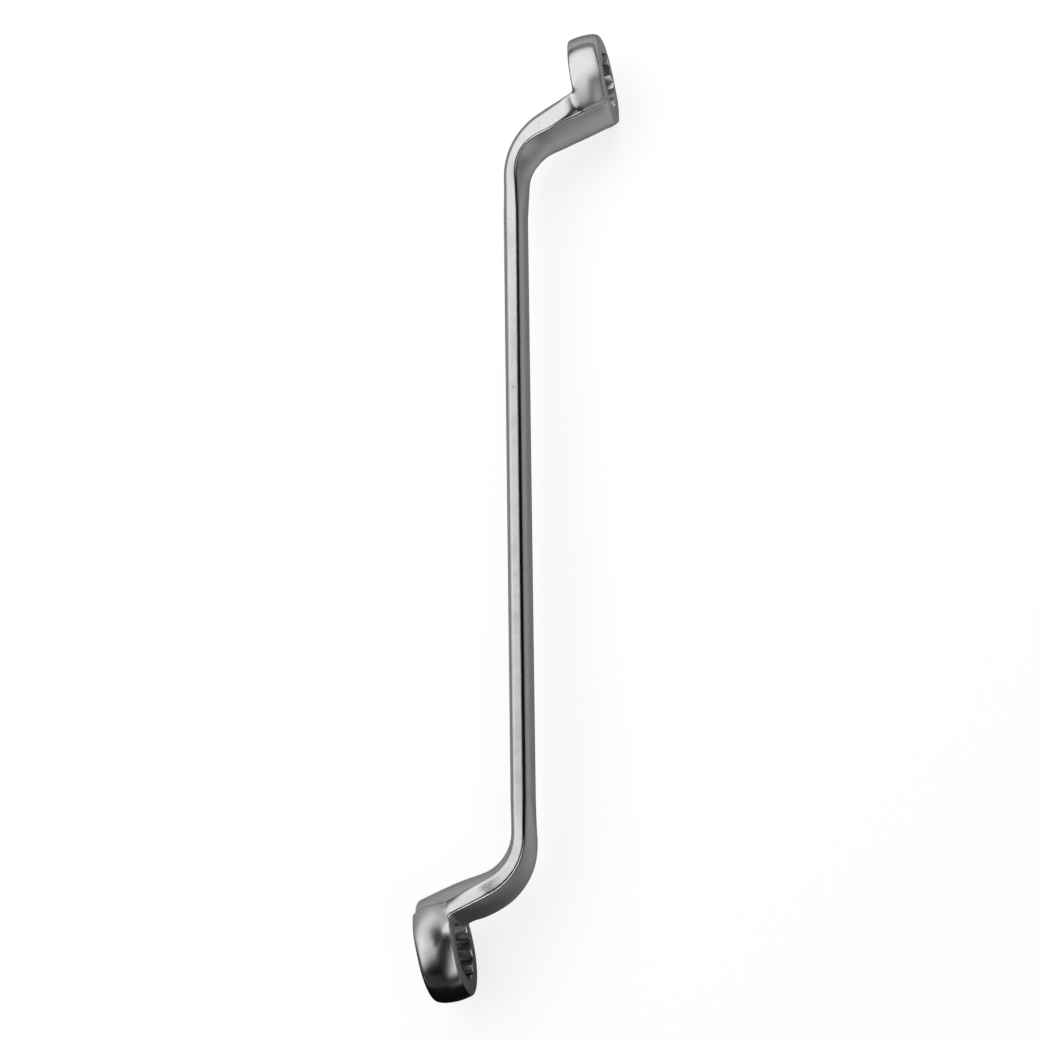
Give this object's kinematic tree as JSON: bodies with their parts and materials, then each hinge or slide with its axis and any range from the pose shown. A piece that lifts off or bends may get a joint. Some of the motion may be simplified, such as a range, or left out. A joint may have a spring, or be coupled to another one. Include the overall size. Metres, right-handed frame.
{
  "type": "ring spanner",
  "caption": "Double-ended offset ring spanner with a flat shank, cranked necks and twelve-point rings of neighbouring sizes.",
  "frame": {"origin": "centre of the spanner's bounding box, on the plane that the ring walls stand on, with the spanner lying on its side", "axes": "+Y along the shank towards the smaller ring, +X towards the side that the smaller ring is offset to, +Z across the shank's width"},
  "size_m": [0.061, 0.2836, 0.0293],
  "materials": {
    "plated_steel": "satin chrome plate over a forged steel body, soft sheen"
  },
  "bodies": {
    "root": {"large_ring": "plated_steel", "large_neck": "plated_steel", "shank": "plated_steel", "small_neck": "plated_steel", "small_ring": "plated_steel"}
  },
  "joints": []
}
